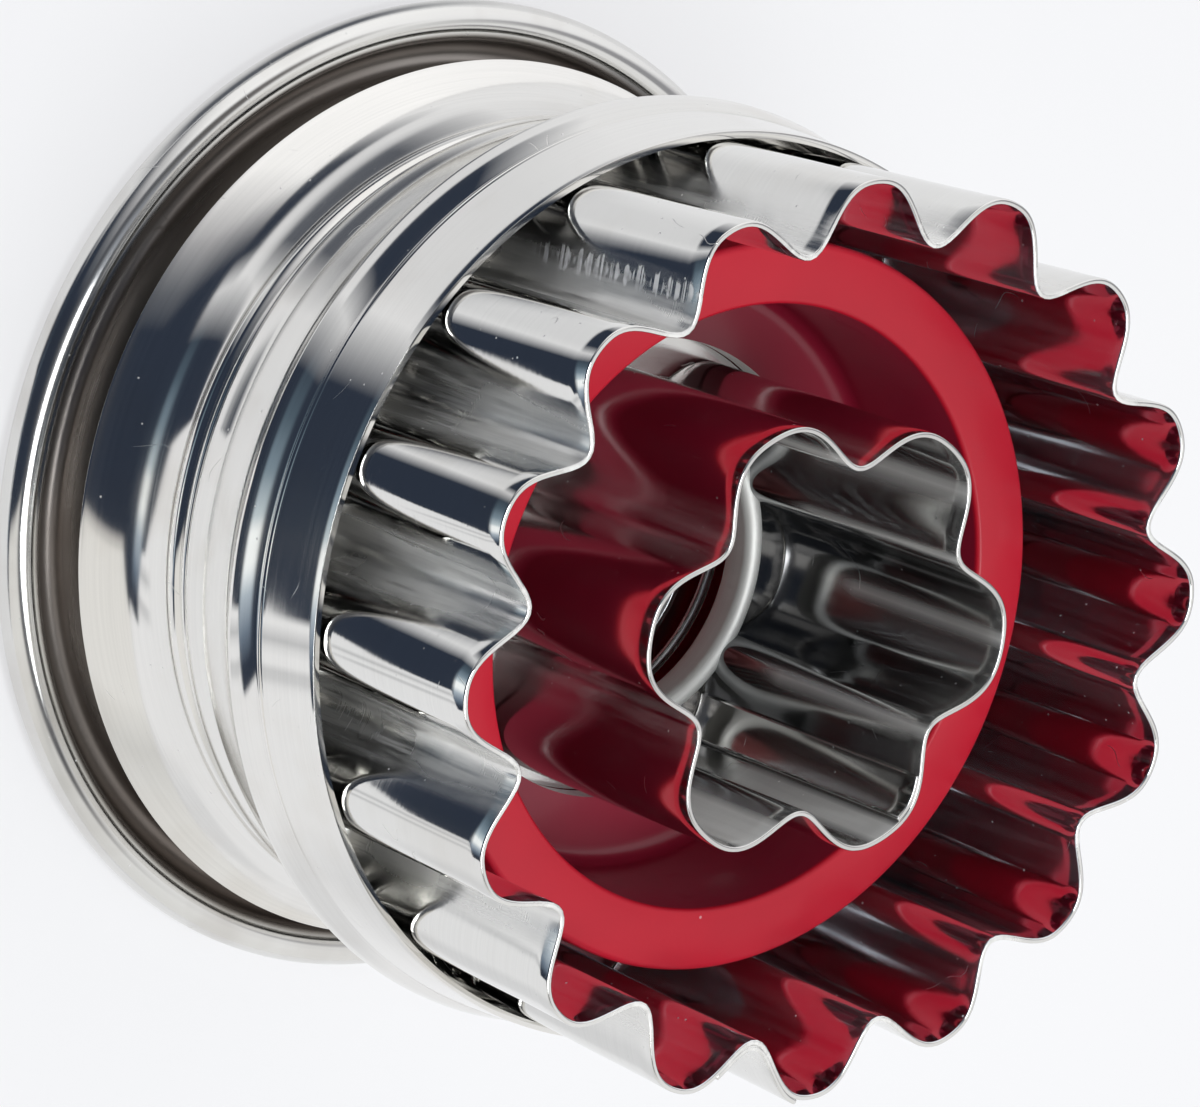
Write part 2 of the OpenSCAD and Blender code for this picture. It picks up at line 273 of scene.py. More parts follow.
def curve_through(points, per_span):
    """A smooth line through the points."""
    out = []
    for i in range(len(points) - 1):
        around = [points[max(i - 1, 0)], points[i], points[i + 1], points[min(i + 2, len(points) - 1)]]
        p0, p1, p2, p3 = [Vector(p) for p in around]
        for k in range(per_span):
            t = k / per_span
            out.append(tuple(0.5 * ((2 * p1) + (p2 - p0) * t + (2 * p0 - 5 * p1 + 4 * p2 - p3) * t * t
                                    + (3 * p1 - p0 - 3 * p2 + p3) * t ** 3)))
    return out + [tuple(points[-1])]


def wrap_uv(bm):
    """Gives a turned piece a UV map that runs round the axis, for the direction of its polishing."""
    layer = bm.loops.layers.uv.new("round_axis")
    for face in bm.faces:
        middle = face.calc_center_median()
        at = math.atan2(middle.y, middle.x)
        for loop in face.loops:
            co = loop.vert.co
            turn = (math.atan2(co.y, co.x) - at + math.pi) % TURN - math.pi
            loop[layer].uv = ((at + turn) / TURN, co.z * 0.01 + co.xy.length * 0.01)


def thicken(piece, thickness, soft_edge, inside=0):
    """Gives a sheet its thickness inwards, with soft edges; inside is its new face's material number."""
    wall = piece.modifiers.new("wall", 'SOLIDIFY')
    wall.material_offset = inside
    wall.thickness = thickness * MM
    wall.offset = -1
    wall.use_even_offset = True
    soft = piece.modifiers.new("soft_edges", 'BEVEL')
    soft.width = soft_edge * MM
    soft.segments = 2
    soft.limit_method = 'ANGLE'
    soft.angle_limit = math.radians(50)


# Housing and rolled rim

def barrel_line():
    """Outer line of the drawn housing, from the flare's open edge up to the collar's front edge."""
    flare = arc(FLARE_AT, FLARE_RAD - SHEET_T / 2, 180 + 54.9, 180 + 5.2, 40)
    wide_bead = arc((21.30, 9.38), 0.66, -47, 62, 16)
    fine_bead = arc((21.70, 10.62), 0.32, -46, 64, 10)
    band = [(21.96, 11.04), (22.16, 11.20), (22.40, 11.42), (22.50, 11.58), (22.53, 11.75), (22.56, 12.3),
            (22.575, 12.9), (22.58, 13.20), (22.60, 13.34)]
    cone = [(22.65, 13.6), (22.70, 14.0), (22.86, 15.1), (22.97, 15.9), (23.03, 16.15), (23.12, 16.38),
            (23.3, 16.7)]
    roll = arc((24.19, 19.06), 0.7, -36, 10, 16)
    face = [(24.86, 19.5), (24.79, 19.85), (24.69, 20.2), (24.57, 20.5), (24.47, 20.72)]
    ridge = [(24.43, 20.80), (24.475, 20.84), (24.50, 20.90), (24.50, 20.97), (24.47, 21.04),
             (24.42, 21.09)]
    collar = [(24.405, 21.2), (24.39, 21.4), (24.28, 23.1), (24.17, 24.7), (24.135, 25.2)]
    return flare + wide_bead + fine_bead + band + cone + roll + face + ridge + collar


def turned_sheet(line, name, soft_edge):
    """A sheet piece turned from its outer line."""
    bm = bmesh.new()
    turn_profile(bm, line)
    wrap_uv(bm)
    piece = finish_mesh(bm, name)
    thicken(piece, SHEET_T, soft_edge)
    return piece


def make_barrel():
    return turned_sheet(barrel_line(), "drawn_housing", SHEET_SOFT)


def make_rim():
    """Spigot inside the flare, trough wall, trough and rolled edge."""
    spigot = arc(FLARE_AT, FLARE_RAD + SPIGOT_GAP, 180 + 21.6, 180 + 41, 8)
    wall = [(23.10, 4.2), (TROUGH_WALL_R, 3.6), (TROUGH_WALL_R, 2.6), (TROUGH_WALL_R, 1.25)]
    trough = arc(TROUGH_AT, TROUGH_RAD, 190, 350, 14)[1:]
    curl = arc(CURL_AT, CURL_RAD, 171, -90, 44) + [(25.66, -0.075)]
    line = [(r, max(z, 0.0)) for r, z in spigot + wall + trough + curl]
    return turned_sheet(line, "rolled_rim", RIM_SOFT)


# The two cutting strips

def flute_radius(angle, tip_r, count, depth, sharpness, tip_at):
    """Radius of a fluted line: round tips and narrower notches."""
    b = count * (angle - math.radians(tip_at))
    return tip_r - depth / 2 * (1 - math.cos(b)) + sharpness * depth * (1 - math.cos(2 * b))


def strip_wall(bm, spec, steps, rows, out=0.0, between=None):
    """Upright strip along a fluted line, with one ring of vertices for each (height, scale) row."""
    if between:
        first, last = between
        angles = [math.radians(first + (last - first) * i / steps) for i in range(steps + 1)]
    else:
        angles = [TURN * i / steps for i in range(steps)]
    base_z, base_scale = rows[0]
    points = []
    for a in angles:
        r = (flute_radius(a, *spec) + out) * base_scale
        points.append((r * math.cos(a), r * math.sin(a), base_z))
    edges = edges_in(polyline(bm, points, closed=between is None))
    for (low, low_scale), (high, high_scale) in zip(rows, rows[1:]):
        grown = bmesh.ops.extrude_edge_only(bm, edges=edges)["geom"]
        verts = verts_in(grown)
        new_verts = set(verts)
        edges = [e for e in edges_in(grown) if all(v in new_verts for v in e.verts)]
        k = high_scale / low_scale
        bmesh.ops.scale(bm, vec=(k, k, 1), verts=verts)
        bmesh.ops.translate(bm, vec=(0, 0, high - low), verts=verts)


def strip_heights(edge_z):
    """Heights of a strip's rows, from the bridge plate to its cutting edge."""
    return [STRIP_LOW_Z + (edge_z - STRIP_LOW_Z) * i / STRIP_ROWS for i in range(STRIP_ROWS + 1)]


def ripple(bm, amount, size):
    """Pushes the wall in and out by the small waves that pressing leaves."""
    bm.normal_update()
    moves = [(v, v.normal * amount * noise.noise(v.co * size)) for v in bm.verts]
    for v, move in moves:
        v.co += move


def cutting_strip(name, spec, rows, steps, waves, lap_out, lap, lap_steps):
    """A closed strip and the short lap that joins its ends."""
    bm = bmesh.new()
    strip_wall(bm, spec, steps, rows)
    bmesh.ops.recalc_face_normals(bm, faces=bm.faces)
    ripple(bm, *waves)
    strip = finish_mesh(bm, name)
    thicken(strip, STRIP_T, STRIP_SOFT, inside=1)
    bm = bmesh.new()
    strip_wall(bm, spec, lap_steps, rows, out=lap_out, between=lap)
    lap_piece = finish_mesh(bm, name + "_lap")
    thicken(lap_piece, STRIP_T, STRIP_SOFT)
    return [strip, lap_piece]


def make_outer_cutter():
    spec = (TIP_R, FLUTES, FLUTE_DEPTH, NOTCH_SHARPNESS, FLUTE_TIP_AT)
    rows = [(z, 1 - FLUTE_TAPER * (EDGE_Z - z) / TIP_R) for z in strip_heights(EDGE_Z)]
    return cutting_strip("fluted_strip", spec, rows, FLUTES * FLUTE_STEPS, FLUTE_RIPPLE,
                         lap_out=STRIP_T, lap=FLUTE_LAP, lap_steps=40)


def make_inner_cutter():
    spec = (PETAL_R, PETALS, PETAL_DEPTH, PETAL_SHARPNESS, PETAL_TIP_AT)
    rows = [(z, 1) for z in strip_heights(PETAL_EDGE_Z)]
    return cutting_strip("petal_strip", spec, rows, PETALS * PETAL_STEPS, PETAL_RIPPLE,
                         lap_out=-STRIP_T, lap=PETAL_LAP, lap_steps=30)


# Sleeve and spring

def make_sleeve():
    """Short sleeve with a rounded mouth, and the flange that is spot-welded under the bridge."""
    mouth = arc((SLEEVE_R + 0.36, 19.0), MOUTH_RAD, 178, 40, 14)
    outer = [(0.62, 19.1), (0.30, 18.9), (0.2, 18.2), (0.2, 17.86)]
    flange = [(1.22, 17.85), (1.25, 17.8), (1.25, 17.5), (1.22, 17.46), (0.25, 17.46)]
    bore = [(0.0, 17.5), (-0.15, 17.65), (-0.2, 17.85)]
    outline = [(SLEEVE_R - 0.2, 18.2)] + mouth + [(SLEEVE_R + r, z) for r, z in outer + flange + bore]
    bm = bmesh.new()
    turn_profile(bm, outline, closed=True)
    sharpen(bm, 60)
    return finish_mesh(bm, "spot_welded_sleeve")


def make_spring():
    """A round wire spun along a helix, with both ends filled."""
    bm = bmesh.new()
    ring = bmesh.ops.create_circle(bm, segments=WIRE_SIDES, radius=WIRE_D / 2)["verts"]
    bmesh.ops.rotate(bm, cent=(0, 0, 0), matrix=Matrix.Rotation(math.pi / 2, 3, 'X'), verts=ring)
    bmesh.ops.translate(bm, vec=(COIL_R, 0, SPRING_LOW), verts=ring)
    steps = CURLS * CURL_STEPS
    rise = (SPRING_HIGH - SPRING_LOW) / steps
    bmesh.ops.spin(bm, geom=list(ring) + list(bm.edges), cent=(0, 0, 0), axis=(0, 0, 1), dvec=(0, 0, rise),
                   angle=TURN * CURLS, steps=steps, use_merge=False, use_duplicate=False)
    bmesh.ops.holes_fill(bm, edges=[e for e in bm.edges if len(e.link_faces) == 1], sides=0)
    return finish_mesh(bm, "coil_spring")


# Red pieces

def make_ejector():
    """Ring with its floor, and three legs that end in snap barbs."""
    lip_z = FACE_Z - 1.2
    step_z = FACE_Z - 5
    profile = ([(RING_HOLE_R, FLOOR_Z), (RING_SHELL_R, FLOOR_Z), (RING_SHELL_R, lip_z),
                (RING_STEP_R, lip_z), (RING_STEP_R, step_z), (RING_R, step_z)]
               + arc((RING_R - 0.35, FACE_Z - 0.35), 0.35, 0, 90, 8)
               + arc((RING_IN_R + 0.3, FACE_Z - 0.3), 0.3, 100, 170, 5)
               + arc((RING_IN_R - 1, FLOOR_TOP_Z + 1), 1.0, 0, -90, 8) + [(RING_HOLE_R, FLOOR_TOP_Z)])
    bm = bmesh.new()
    turn_profile(bm, profile, closed=True)
    for at in LEG_PLACES:
        sector(bm, block(LEG_IN_R, LEG_R, LEG_LOW_Z, LEG_TOP_Z), at, LEG_WIDTH)
        sector(bm, block(LEG_R - 0.3, LEG_R + BARB_OUT, BARB_LOW_Z, BARB_TOP_Z), at, BARB_WIDTH)
    sharpen(bm, 35)
    return finish_mesh(bm, "ejector_moulding")


def dish_height(radius):
    """Height of the pad's hollow face at a radius."""
    return DISH_MID_Z - (DISH_RAD - math.sqrt(DISH_RAD ** 2 - radius ** 2)) * DISH_FLATNESS


def make_button():
    """Thumb pad with a dished face, a rim, a seat for the spring and three sockets for the legs."""
    dish = [(DISH_R * i / 20, dish_height(DISH_R * i / 20)) for i in range(21)]
    edge = curve_through([(18.5, 0.5), (19.2, 0.5), (19.9, 0.62), (20.45, 1.0), (BUTTON_R, 1.7)], 4)
    wall_r = BUTTON_R - BUTTON_WALL
    rim = [(BUTTON_R, BUTTON_TOP_Z - 0.15), (BUTTON_R - 0.15, BUTTON_TOP_Z), (wall_r + 0.15, BUTTON_TOP_Z),
           (wall_r, BUTTON_TOP_Z - 0.15), (wall_r, BUTTON_FLOOR_Z)]
    seat = [(8.046, BUTTON_FLOOR_Z), (8.046, 5.35), (7.9, 5.5), (6.95, 5.5), (6.846, 5.35),
            (6.846, BUTTON_FLOOR_Z), (0.0, BUTTON_FLOOR_Z)]
    bm = bmesh.new()
    turn_profile(bm, dish + edge + rim + seat)
    inner, outer = LEG_IN_R - 0.9, LEG_R + 1.5
    near, far = LEG_IN_R - 0.1, LEG_R + 0.1
    walls = [block(inner, near, SOCKET_FOOT_Z, SOCKET_TOP_Z), block(far, outer, BARB_STEP_Z, SOCKET_TOP_Z),
             block(far, outer, SOCKET_FOOT_Z, BARB_STOP_Z)]
    for at in LEG_PLACES:
        for wall in walls:
            sector(bm, wall, at, SOCKET_WIDTH)
        for side in (-1, 1):
            sector(bm, block(near, outer, SOCKET_FOOT_Z, SOCKET_TOP_Z), at + side * SOCKET_SIDE_AT,
                   SOCKET_SIDE_WIDTH, 3)
    sharpen(bm, 35)
    return finish_mesh(bm, "thumb_pad")


# Shader helpers

def add(tree, kind, inputs=None, **settings):
    """Adds a node, sets its properties and fills or links its inputs."""
    node = tree.nodes.new(kind)
    for name, value in settings.items():
        setattr(node, name, value)
    for key, value in (inputs or {}).items():
        socket = node.inputs[key]
        if isinstance(value, bpy.types.NodeSocket):
            tree.links.new(value, socket)
        else:
            socket.default_value = value
    return node


def math_node(tree, operation, a, b=0.0, clamp=False):
    return add(tree, 'ShaderNodeMath', {0: a, 1: b}, operation=operation, use_clamp=clamp).outputs[0]


def times(tree, first, *others):
    for other in others:
        first = math_node(tree, 'MULTIPLY', first, other)
    return first


def plus(tree, a, b, clamp=False):
    return math_node(tree, 'ADD', a, b, clamp)


def minus(tree, a, b, clamp=False):
    return math_node(tree, 'SUBTRACT', a, b, clamp)


def larger(tree, a, b):
    return math_node(tree, 'MAXIMUM', a, b)


def span(tree, value, low, high, to_low=0.0, to_high=1.0):
    """Maps a value between two limits, clamped."""
    return add(tree, 'ShaderNodeMapRange', {'Value': value, 'From Min': low, 'From Max': high,
                                            'To Min': to_low, 'To Max': to_high}, clamp=True).outputs[0]


def grey(value):
    return (value, value, value, 1)


def mix_color(tree, factor, a, b, blend='MIX'):
    node = add(tree, 'ShaderNodeMix', {0: factor, 6: a, 7: b}, data_type='RGBA', blend_type=blend)
    return node.outputs[2]


def noise_of(tree, vector, scale, detail=2.0, rough=0.5):
    return add(tree, 'ShaderNodeTexNoise', {'Vector': vector, 'Scale': scale, 'Detail': detail,
                                            'Roughness': rough}).outputs['Fac']


def line_noise(tree, along, scale):
    """Noise along one line."""
    return add(tree, 'ShaderNodeTexNoise', {'W': along, 'Scale': scale, 'Detail': 1.0},
               noise_dimensions='1D').outputs[0]


def drawn_noise(tree, xyz, height, across, up, detail, rough):
    """Noise with one scale across the tool and another one up it."""
    at = add(tree, 'ShaderNodeCombineXYZ', {0: times(tree, xyz[0], across), 1: times(tree, xyz[1], across),
                                            2: times(tree, height, up)}).outputs[0]
    return noise_of(tree, at, 1.0, detail, rough)


def dots(tree, place, scale, wide, narrow):
    """Round dots in cells, and a random number for each cell."""
    cells = add(tree, 'ShaderNodeTexVoronoi', {'Vector': place, 'Scale': scale})
    pick = add(tree, 'ShaderNodeSeparateColor', {0: cells.outputs['Color']}).outputs[0]
    return span(tree, cells.outputs['Distance'], wide, narrow), pick


def object_place(tree):
    """Object coordinates, whole and as x, y and z."""
    place = add(tree, 'ShaderNodeTexCoord').outputs['Object']
    return place, add(tree, 'ShaderNodeSeparateXYZ', {0: place}).outputs


def radius_of(tree, xyz):
    """Distance from the tool's axis."""
    squares = plus(tree, times(tree, xyz[0], xyz[0]), times(tree, xyz[1], xyz[1]))
    return math_node(tree, 'SQRT', squares)


def bearing_of(tree, xyz):
    """Direction round the tool's axis in degrees; the camera stands at -90."""
    return times(tree, math_node(tree, 'ARCTAN2', xyz[1], xyz[0]), 180 / math.pi)


def ramp(tree, value, stops):
    """Colour by value, through (position, colour) stops; a plain number stands for a grey."""
    node = add(tree, 'ShaderNodeValToRGB', {0: value})
    elements = node.color_ramp.elements
    for index, (position, color) in enumerate(stops):
        stop = elements[index] if index < 2 else elements.new(position)
        stop.position = position
        stop.color = (*color, 1) if isinstance(color, tuple) else grey(color)
    return node.outputs[0]


def by_bearing(tree, bearing, stops):
    """Colour round the whole turn, through (degrees, colour) stops, the two ends first."""
    return ramp(tree, span(tree, bearing, -180, 180), [((at + 180) / 360, color) for at, color in stops])


def new_material(name):
    """An empty node material."""
    material = bpy.data.materials.new(name)
    material.use_nodes = True
    material.node_tree.nodes.clear()
    return material, material.node_tree


def new_group(name, inputs, outputs):
    tree = bpy.data.node_groups.new(name, 'ShaderNodeTree')
    for label, kind, value in inputs:
        tree.interface.new_socket(name=label, in_out='INPUT', socket_type=kind).default_value = value
    for label, kind in outputs:
        tree.interface.new_socket(name=label, in_out='OUTPUT', socket_type=kind)
    return tree, add(tree, 'NodeGroupInput').outputs, add(tree, 'NodeGroupOutput')


# Steel finishes

def polish_group():
    """Polished sheet: brushing round the axis, dust specks, scratches, press marks whitened as painted
    glints, and faint tarnish.
    """
    number, paint = 'NodeSocketFloat', 'NodeSocketColor'
    tree, given, out = new_group(
        "polished_sheet",
        [("Metal", paint, grey(0.8)), ("Tarnish", paint, grey(0.4)), ("Radius Weight", number, 1.0),
         ("Haze", number, 0.06), ("Brushing", number, 0.5), ("Specks", number, 0.5),
         ("Fold Radius", number, 0.0), ("Press Marks", number, 0.0)],
        [("Color", paint), ("Roughness", number), ("Height", number), ("Bare Metal", number)])
    place, xyz = object_place(tree)
    radius = radius_of(tree, xyz)
    ring = plus(tree, times(tree, radius, given["Radius Weight"]), times(tree, xyz[2], 2.7))
    lines = drawn_noise(tree, xyz, ring, 60.0, BRUSH_LINES, 3.0, 0.6)
    wide = drawn_noise(tree, xyz, ring, 45.0, 900.0, 2.0, 0.5)
    smear = noise_of(tree, place, 130.0, 3.0, 0.55)

    # Specks of dust, more of them near the cutting edge
    dot, pick = dots(tree, place, 1100.0, 0.085, 0.045)
    pick = plus(tree, pick, span(tree, xyz[2], 0.030, 0.037, 0.0, 0.28))
    patches = span(tree, noise_of(tree, place, 160.0), 0.42, 0.60, 0.1, 1.0)
    dot = times(tree, dot, span(tree, pick, 0.52, 0.54), patches)
    specks = times(tree, dot, given["Specks"])

    # Broken hairline scratches
    path = minus(tree, noise_of(tree, place, 210.0, 1.0, 0.4), 0.5)
    ridge = span(tree, math_node(tree, 'ABSOLUTE', path), 0.0022, 0.0008)
    scratches = times(tree, ridge, span(tree, noise_of(tree, place, 330.0, 1.0), 0.64, 0.68))

    # Press marks along the notches: real bumps and roughness, with their colour whitened as painted glints
    folds = span(tree, minus(tree, radius, given["Fold Radius"]), 0.0008, -0.0004)
    folds = times(tree, folds, given["Press Marks"])
    marks = span(tree, drawn_noise(tree, xyz, xyz[2], 1500.0, 90.0, 3.0, 0.65), 0.36, 0.60)
    marks = times(tree, marks, folds)

    tarnish = times(tree, span(tree, smear, 0.52, 0.78), 0.35)
    color = mix_color(tree, tarnish, given["Metal"], given["Tarnish"])
    streak = times(tree, span(tree, lines, 0.25, 0.75, -0.5, 0.5), given["Brushing"])
    shade = plus(tree, 1.0, times(tree, streak, 0.16))
    shade = add(tree, 'ShaderNodeCombineColor', {0: shade, 1: shade, 2: shade}).outputs[0]
    color = mix_color(tree, 1.0, color, shade, 'MULTIPLY')
    color = mix_color(tree, times(tree, specks, 0.6), color, grey(0.95))
    # painted glints: the press marks turn whitish
    color = mix_color(tree, times(tree, marks, 0.7), color, (0.92, 0.91, 0.88, 1))

    rough = plus(tree, given["Haze"], span(tree, smear, 0.4, 0.8, 0.0, 0.05))
    rough = plus(tree, rough, times(tree, span(tree, lines, 0.4, 0.8, 0.0, 0.08), given["Brushing"]))
    rough = plus(tree, rough, times(tree, larger(tree, specks, scratches), 0.3))
    rough = plus(tree, rough, times(tree, folds, span(tree, smear, 0.35, 0.65, 0.08, 0.34)), clamp=True)

    height = plus(tree, times(tree, lines, given["Brushing"]), wide)
    height = minus(tree, height, times(tree, scratches, 1.5))
    height = plus(tree, height, times(tree, dot, 2.0))
    height = plus(tree, height, times(tree, marks, 2.0))

    bare = minus(tree, 1.0, times(tree, specks, 0.9))
    # painted glints: the press marks are less metallic
    bare = minus(tree, bare, times(tree, marks, 0.5), clamp=True)
    for name, value in (("Color", color), ("Roughness", rough), ("Height", height), ("Bare Metal", bare)):
        tree.links.new(value, out.inputs[name])
    return tree


def painted_glint_strokes(tree, color, rough, metallic):
    """Painted glints: the ladder of short white strokes on one flank of the fluted strip, where the press
    dented it.
    """
    place, xyz = object_place(tree)
    along = times(tree, xyz[2], 2900.0)
    reach = span(tree, line_noise(tree, along, 0.45), 0.35, 0.65, 0.35, 1.25)
    off = math_node(tree, 'ABSOLUTE', minus(tree, bearing_of(tree, xyz), GLINT_STROKES_AT))
    within = span(tree, minus(tree, reach, off), 0.0, 0.35)
    worn = span(tree, noise_of(tree, place, 1400.0), 0.38, 0.55, 0.35, 1.0)
    glinting = times(tree, span(tree, line_noise(tree, along, 1.0), 0.45, 0.52), within,
                   span(tree, xyz[2], 0.0235, 0.0250), worn)
    # painted glints: the strokes turn white and less metallic
    color = mix_color(tree, glinting, color, grey(0.97))
    rough = plus(tree, rough, times(tree, glinting, 0.3), clamp=True)
    return color, rough, minus(tree, metallic, times(tree, glinting, 0.8), clamp=True)


def painted_reflection_streaks(tree, color, rough, metallic):
    """Painted reflections and painted shade along the petals' inside: bright lines on a dark ground,
    brighter towards the edge.
    """
    place, xyz = object_place(tree)
    stops = {(at, on) for streak in PETAL_PAINTED_REFLECTIONS for at, on in zip(streak, (0, 1, 1, 0))}
    lines = by_bearing(tree, bearing_of(tree, xyz), [(-180, 0), (180, 0)] + sorted(stops))
    lines = add(tree, 'ShaderNodeSeparateColor', {0: lines}).outputs[0]
    # painted shade deep in the petals, painted reflections in the bright lines and towards the edge
    lines = times(tree, lines, span(tree, xyz[2], 0.0205, 0.0245))
    streak = larger(tree, lines, span(tree, xyz[2], 0.0270, 0.0365, 0.0, 0.60))
    shade = mix_color(tree, streak, (0.27, 0.275, 0.29, 1), grey(1.0))
    color = mix_color(tree, 1.0, color, shade, 'MULTIPLY')
    rough = plus(tree, rough, span(tree, streak, 0.3, 1.0, 0.0, 0.10), clamp=True)
    return color, rough, minus(tree, metallic, span(tree, streak, 0.5, 1.0, 0.0, 0.75), clamp=True)


def trough_painted_shade(tree, color, rough, metallic):
    """Painted shade: darkens the rim's trough to a dark brown and roughens it, in place of the shade and
    dark reflections there.
    """
    place, xyz = object_place(tree)
    radius = radius_of(tree, xyz)
    low, high = (edge * MM for edge in TROUGH_SHADE_BETWEEN)
    inside = times(tree, span(tree, radius, low - 0.0003, low),
                   span(tree, radius, high + 0.0003, high - 0.0002), span(tree, xyz[2], 0.0030, 0.0018),
                   span(tree, noise_of(tree, place, 60.0, 3.0), 0.3, 0.7, 0.8, 1.0))
    # painted shade: the trough turns dark brown
    color = mix_color(tree, inside, color, (0.22, 0.19, 0.17, 1))
    return color, plus(tree, rough, times(tree, inside, 0.20), clamp=True), metallic


def steel(name, metal, tarnish, haze, brushing, specks, turned=1.0, bump=0.004, along=0.0, folds=(0, 0),
          bare=1.0, painted_light=None):
    """A polished steel finish.

    turned is 1 where the brushing also changes with the radius, along spreads the gloss across the
    polishing lines, folds gives the radius and strength of the press marks and their painted glints, bare
    is the share of clean metal, and the last argument adds the piece's own painted light, such as the
    trough's painted shade, the petals' painted reflections and the strip's painted glints."""
    material, tree = new_material(name)
    surface = add(tree, 'ShaderNodeGroup', node_tree=polish)
    for key, value in (("Metal", (*metal, 1)), ("Tarnish", (*tarnish, 1)), ("Radius Weight", turned),
                       ("Haze", haze), ("Brushing", brushing), ("Specks", specks),
                       ("Fold Radius", folds[0] * MM), ("Press Marks", folds[1])):
        surface.inputs[key].default_value = value
    relief = add(tree, 'ShaderNodeBump', {'Strength': 1.0, 'Distance': bump * MM,
                                          'Height': surface.outputs["Height"]})
    color, rough = surface.outputs["Color"], surface.outputs["Roughness"]
    metallic = times(tree, surface.outputs["Bare Metal"], bare)
    if painted_light:
        color, rough, metallic = painted_light(tree, color, rough, metallic)
    shader = add(tree, 'ShaderNodeBsdfPrincipled', {'Base Color': color, 'Roughness': rough,
                                                    'Metallic': metallic, 'Normal': relief.outputs[0]})
    if along:
        shader.inputs['Anisotropic'].default_value = along
        shader.inputs['Anisotropic Rotation'].default_value = 0.25
        round_axis = add(tree, 'ShaderNodeTangent', direction_type='UV_MAP', uv_map="round_axis")
        tree.links.new(round_axis.outputs[0], shader.inputs['Tangent'])
    add(tree, 'ShaderNodeOutputMaterial', {'Surface': shader.outputs[0]})
    return material


# Red finishes

def red_plastic(name, base, deep, haze, inner, where):
    """Satin red moulding with mottling, grain, dust and rubbed marks, and an inside painted in a darker
    colour as shade.

    where gives the painted shade inside as (radius, lowest height, highest height) in millimetres, and
    inner is its colour."""
    material, tree = new_material(name)
    place, xyz = object_place(tree)
    mottle = noise_of(tree, place, 90.0, 3.0, 0.55)
    grain = noise_of(tree, place, 2600.0, 2.0, 0.6)
    rubbed = span(tree, noise_of(tree, place, 260.0, 4.0, 0.6), 0.56, 0.72)
    color = mix_color(tree, span(tree, mottle, 0.3, 0.7), (*deep, 1), (*base, 1))
    # painted shade: the inside, where less light reaches, takes the darker inner colour
    reach, low, high = (value * MM for value in where)
    inside = times(tree, span(tree, xyz[2], low, low + 0.0004), span(tree, xyz[2], high, high - 0.0002),
                   span(tree, radius_of(tree, xyz), reach, reach - 0.0005))
    color = mix_color(tree, inside, color, (*inner, 1))
    dust, pick = dots(tree, place, 700.0, 0.07, 0.04)
    dust = times(tree, dust, span(tree, pick, 0.93, 0.94), 0.45)
    color = mix_color(tree, dust, color, (0.85, 0.70, 0.70, 1))
    rough = plus(tree, haze, times(tree, rubbed, 0.12))
    height = plus(tree, grain, times(tree, mottle, 4.0))
    relief = add(tree, 'ShaderNodeBump', {'Strength': 0.6, 'Distance': 0.01 * MM, 'Height': height})
    shader = add(tree, 'ShaderNodeBsdfPrincipled', {
        'Base Color': color, 'Roughness': rough, 'Normal': relief.outputs[0], 'IOR': 1.5,
        'Specular IOR Level': 0.35, 'Coat Weight': span(tree, inside, 0, 1, 0.06, 0.5),
        'Coat Roughness': 0.15})
    add(tree, 'ShaderNodeOutputMaterial', {'Surface': shader.outputs[0]})
    return material


# Studio

def seen_rays(tree):
    """1 for camera, mirror and transmission rays, 0 for the light that falls on the object."""
    rays = add(tree, 'ShaderNodeLightPath').outputs
    seen = larger(tree, rays['Is Camera Ray'], rays['Is Glossy Ray'])
    return larger(tree, seen, rays['Is Transmission Ray']), rays['Is Glossy Ray']


def painted_dark_reflection(tree, xyz, radius, bearing):
    """Where the floor shows a painted dark reflection round the tool in mirror rays, from 0 to 1; radius is
    in millimetres.
    """
    right_edge = plus(tree, span(tree, radius, 38, 47, -74, -60.5), span(tree, radius, 54, 66, 0, 16))
    near_edge = span(tree, bearing, -88, -82, 29.5, 37.0)
    front = times(tree, span(tree, bearing, -117, -102),
                  span(tree, minus(tree, bearing, right_edge), 0.8, -0.8),
                  span(tree, minus(tree, times(tree, xyz[1], -1 / MM), near_edge), 0, 2))
    bands = times(tree, by_bearing(tree, bearing, DARK_REFLECTION_BANDS), span(tree, radius, 38, 42))
    side = times(tree, span(tree, bearing, -172, -150), span(tree, bearing, -112, -124),
                 ramp(tree, span(tree, radius, 20, 100), DARK_REFLECTION_RINGS))
    back = times(tree, span(tree, bearing, 76, 84), span(tree, bearing, 112, 104),
                 span(tree, radius, 34, 40))
    return larger(tree, larger(tree, larger(tree, front, bands), side), back)


